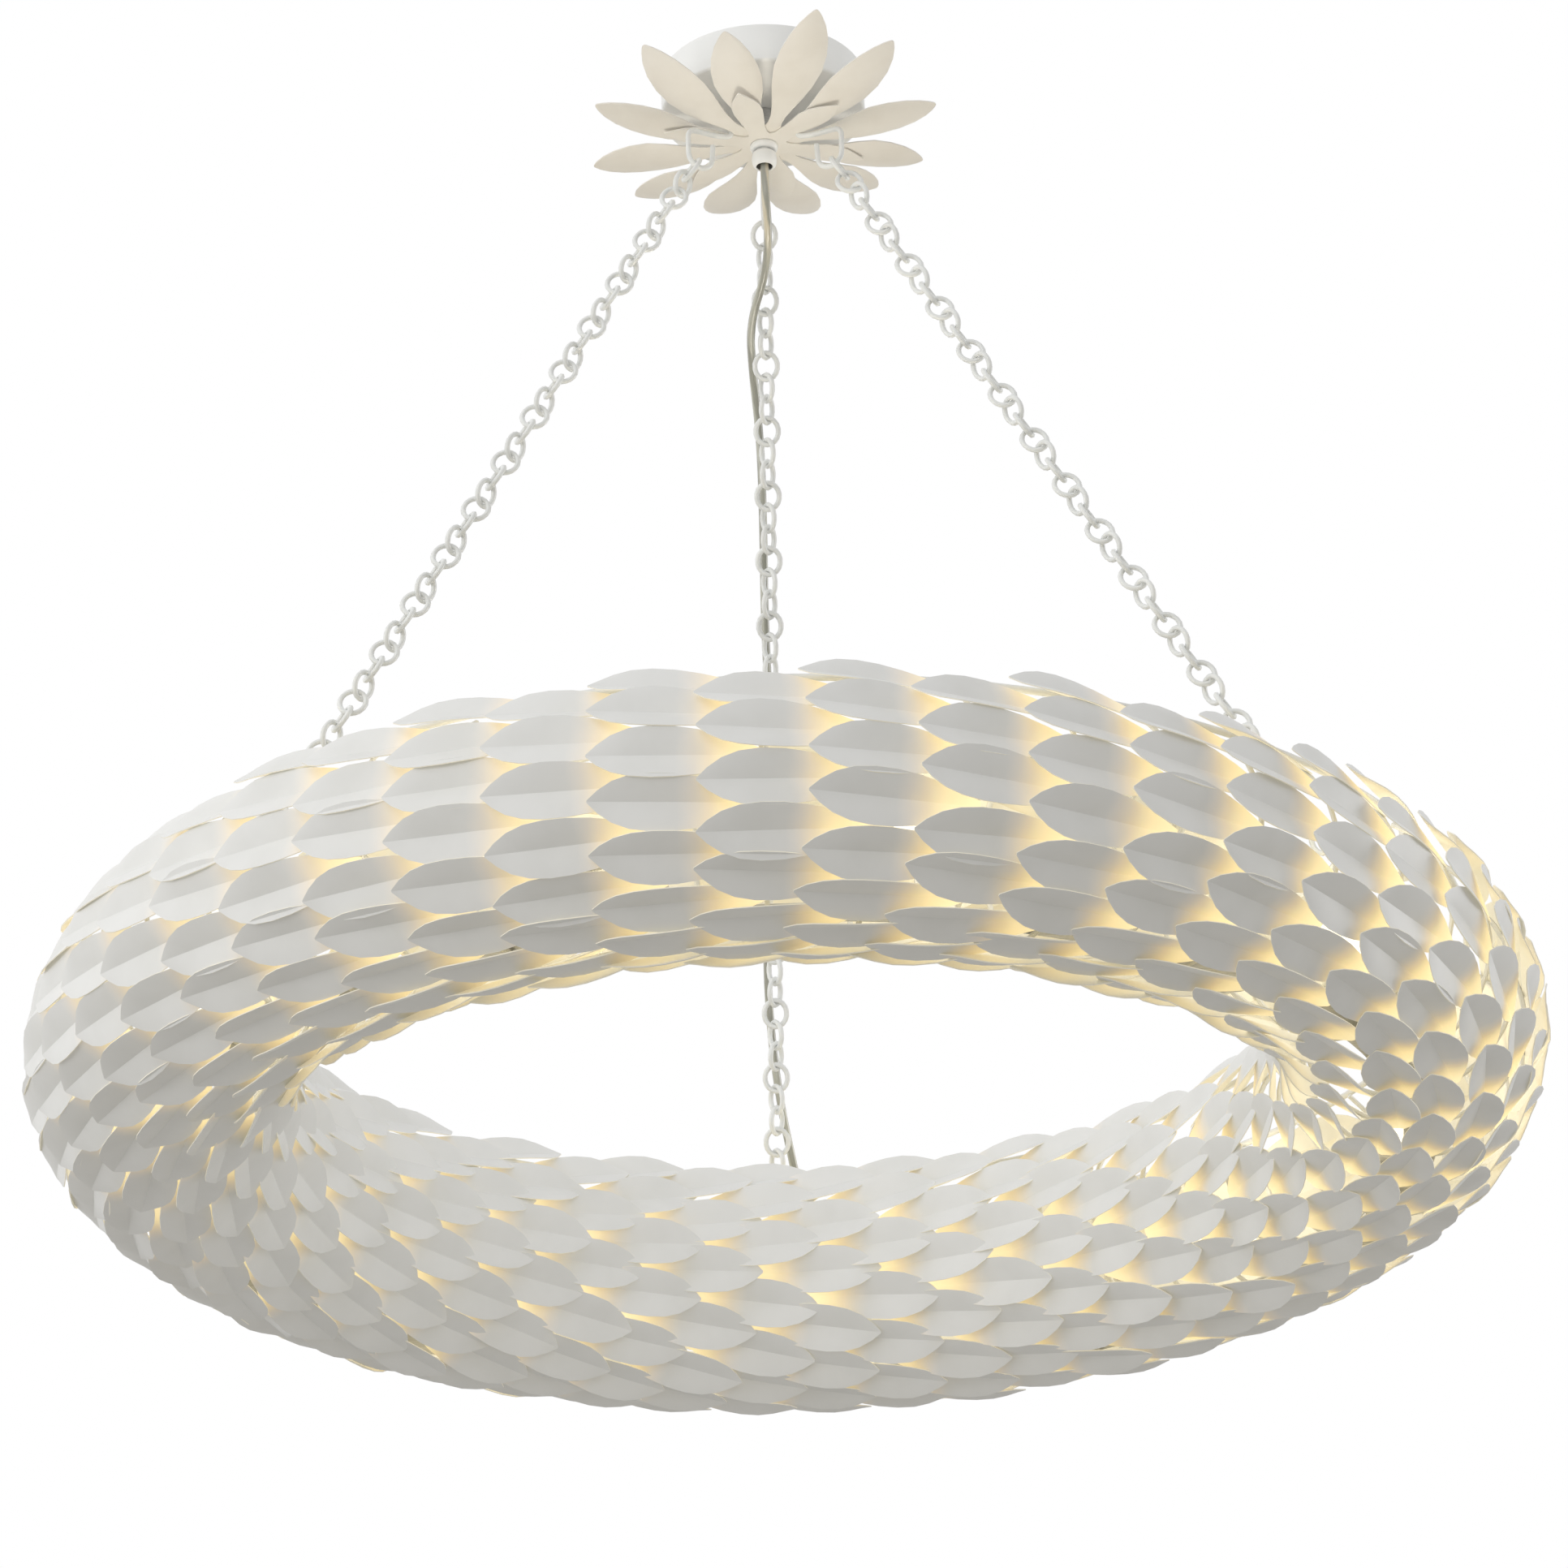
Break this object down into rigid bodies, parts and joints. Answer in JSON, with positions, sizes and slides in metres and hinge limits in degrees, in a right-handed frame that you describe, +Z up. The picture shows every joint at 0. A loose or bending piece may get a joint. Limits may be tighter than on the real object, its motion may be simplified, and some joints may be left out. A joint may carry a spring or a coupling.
{
  "type": "chandelier",
  "caption": "Ring-shaped chandelier: folded metal leaves stand round a hollow tube of lamps, hung on small-link chains from a round canopy with a petal flower.",
  "frame": {"origin": "the canopy's centre on the ceiling plane, at the middle of the crossbar's slotted hole pattern", "axes": "+Z up into the ceiling; +Y away from the viewer, towards the rear chain; +X to the viewer's right, along the crossbar"},
  "size_m": [0.87, 0.87, 0.7526],
  "materials": {
    "steel": "plain zinc-plated steel",
    "white_paint": "smooth satin white paint",
    "cream_paint": "satin cream paint",
    "leaf_paint": "satin white paint on folded sheet",
    "chain_paint": "gloss white paint on round wire",
    "wire_paint": "satin white paint on round wire",
    "clear_sheath": "clear sheath over tinned wire",
    "lead_sheath": "pale rubber sheath",
    "pale_rubber": "matte pale rubber",
    "bush_plastic": "matte white plastic",
    "holder_plastic": "glazed white",
    "lamp_glass": "lit warm white glass"
  },
  "bodies": {
    "canopy": {"crossbar": "steel", "stem": "steel", "stem_nut": "steel", "canopy_drum": "white_paint", "hub_spacer": "steel", "outer_petals": "cream_paint", "inner_petals": "cream_paint", "hub_washer": "white_paint", "hook_left": "chain_paint", "hook_right": "chain_paint", "hook_rear": "chain_paint", "hook_nuts": "steel", "lead_bush": "bush_plastic", "fixed_lead": "lead_sheath"},
    "collar": {"collar_sleeve": "white_paint"},
    "top_link_left": {"top_link_left": "chain_paint"},
    "top_link_right": {"top_link_right": "chain_paint"},
    "top_link_rear": {"top_link_rear": "chain_paint"},
    "chain_left": {"chain_left": "chain_paint"},
    "chain_right": {"chain_right": "chain_paint"},
    "chain_rear": {"chain_rear": "chain_paint", "flex": "clear_sheath"},
    "bottom_link_rear": {"bottom_link_rear": "chain_paint"},
    "ring": {"rail_outer": "wire_paint", "rail_inner": "wire_paint", "lamp_channel": "steel", "wiring_harness": "lead_sheath", "lead_grommet": "pale_rubber", "ring_lead": "lead_sheath", "lamp_brackets": "steel", "hoops_left": "wire_paint", "leaves_left": "leaf_paint", "saddle_left": "wire_paint", "eye_left": "wire_paint", "hoops_right": "wire_paint", "leaves_right": "leaf_paint", "saddle_right": "wire_paint", "eye_right": "wire_paint", "hoops_rear": "wire_paint", "leaves_rear": "leaf_paint", "saddle_rear": "wire_paint", "eye_rear": "wire_paint", "lamp_1": "lamp_glass", "lamp_holder_1": "holder_plastic", "lamp_2": "lamp_glass", "lamp_holder_2": "holder_plastic", "lamp_3": "lamp_glass", "lamp_holder_3": "holder_plastic", "lamp_4": "lamp_glass", "lamp_holder_4": "holder_plastic", "lamp_5": "lamp_glass", "lamp_holder_5": "holder_plastic", "lamp_6": "lamp_glass", "lamp_holder_6": "holder_plastic", "lamp_7": "lamp_glass", "lamp_holder_7": "holder_plastic", "lamp_8": "lamp_glass", "lamp_holder_8": "holder_plastic", "lamp_9": "lamp_glass", "lamp_holder_9": "holder_plastic"}
  },
  "joints": [
    {"name": "collar_drop", "type": "slide", "parent": "canopy", "child": "collar", "axis": [0, 0, -1], "range_m": [0, 0.01]},
    {"name": "side_sway_rear", "type": "hinge", "parent": "canopy", "child": "top_link_rear", "pos_m": [0, 0.05, -0.077], "axis": [0, 1, 0], "range_deg": [-4, 4]},
    {"name": "fore_sway_rear", "type": "hinge", "parent": "top_link_rear", "child": "chain_rear", "pos_m": [0, 0.05642, -0.08882], "axis": [1, 0, 0], "range_deg": [-4, 4]},
    {"name": "side_sway_left", "type": "hinge", "parent": "canopy", "child": "top_link_left", "pos_m": [-0.0433, -0.025, -0.077], "axis": [0, 1, 0], "range_deg": [-4, 4]},
    {"name": "fore_sway_left", "type": "hinge", "parent": "top_link_left", "child": "chain_left", "pos_m": [-0.04886, -0.02821, -0.08882], "axis": [1, 0, 0], "range_deg": [-4, 4]},
    {"name": "side_sway_right", "type": "hinge", "parent": "canopy", "child": "top_link_right", "pos_m": [0.0433, -0.025, -0.077], "axis": [0, 1, 0], "range_deg": [-4, 4]},
    {"name": "fore_sway_right", "type": "hinge", "parent": "top_link_right", "child": "chain_right", "pos_m": [0.04886, -0.02821, -0.08882], "axis": [1, 0, 0], "range_deg": [-4, 4]},
    {"name": "ring_fore_turn", "type": "hinge", "parent": "chain_rear", "child": "bottom_link_rear", "pos_m": [0, 0.34072, -0.61184], "axis": [1, 0, 0], "range_deg": [-0.7, 0.7]},
    {"name": "ring_side_turn", "type": "hinge", "parent": "bottom_link_rear", "child": "ring", "pos_m": [0, 0.347, -0.6234], "axis": [0, 1, 0], "range_deg": [-0.6, 0.6]}
  ],
  "couplings": [
    {"joint": "side_sway_left", "follows": "side_sway_rear", "ratio": 1},
    {"joint": "fore_sway_left", "follows": "fore_sway_rear", "ratio": 1},
    {"joint": "side_sway_right", "follows": "side_sway_rear", "ratio": 1},
    {"joint": "fore_sway_right", "follows": "fore_sway_rear", "ratio": 1},
    {"joint": "ring_fore_turn", "follows": "fore_sway_rear", "ratio": -0.1656},
    {"joint": "ring_side_turn", "follows": "side_sway_rear", "ratio": -0.1441}
  ]
}
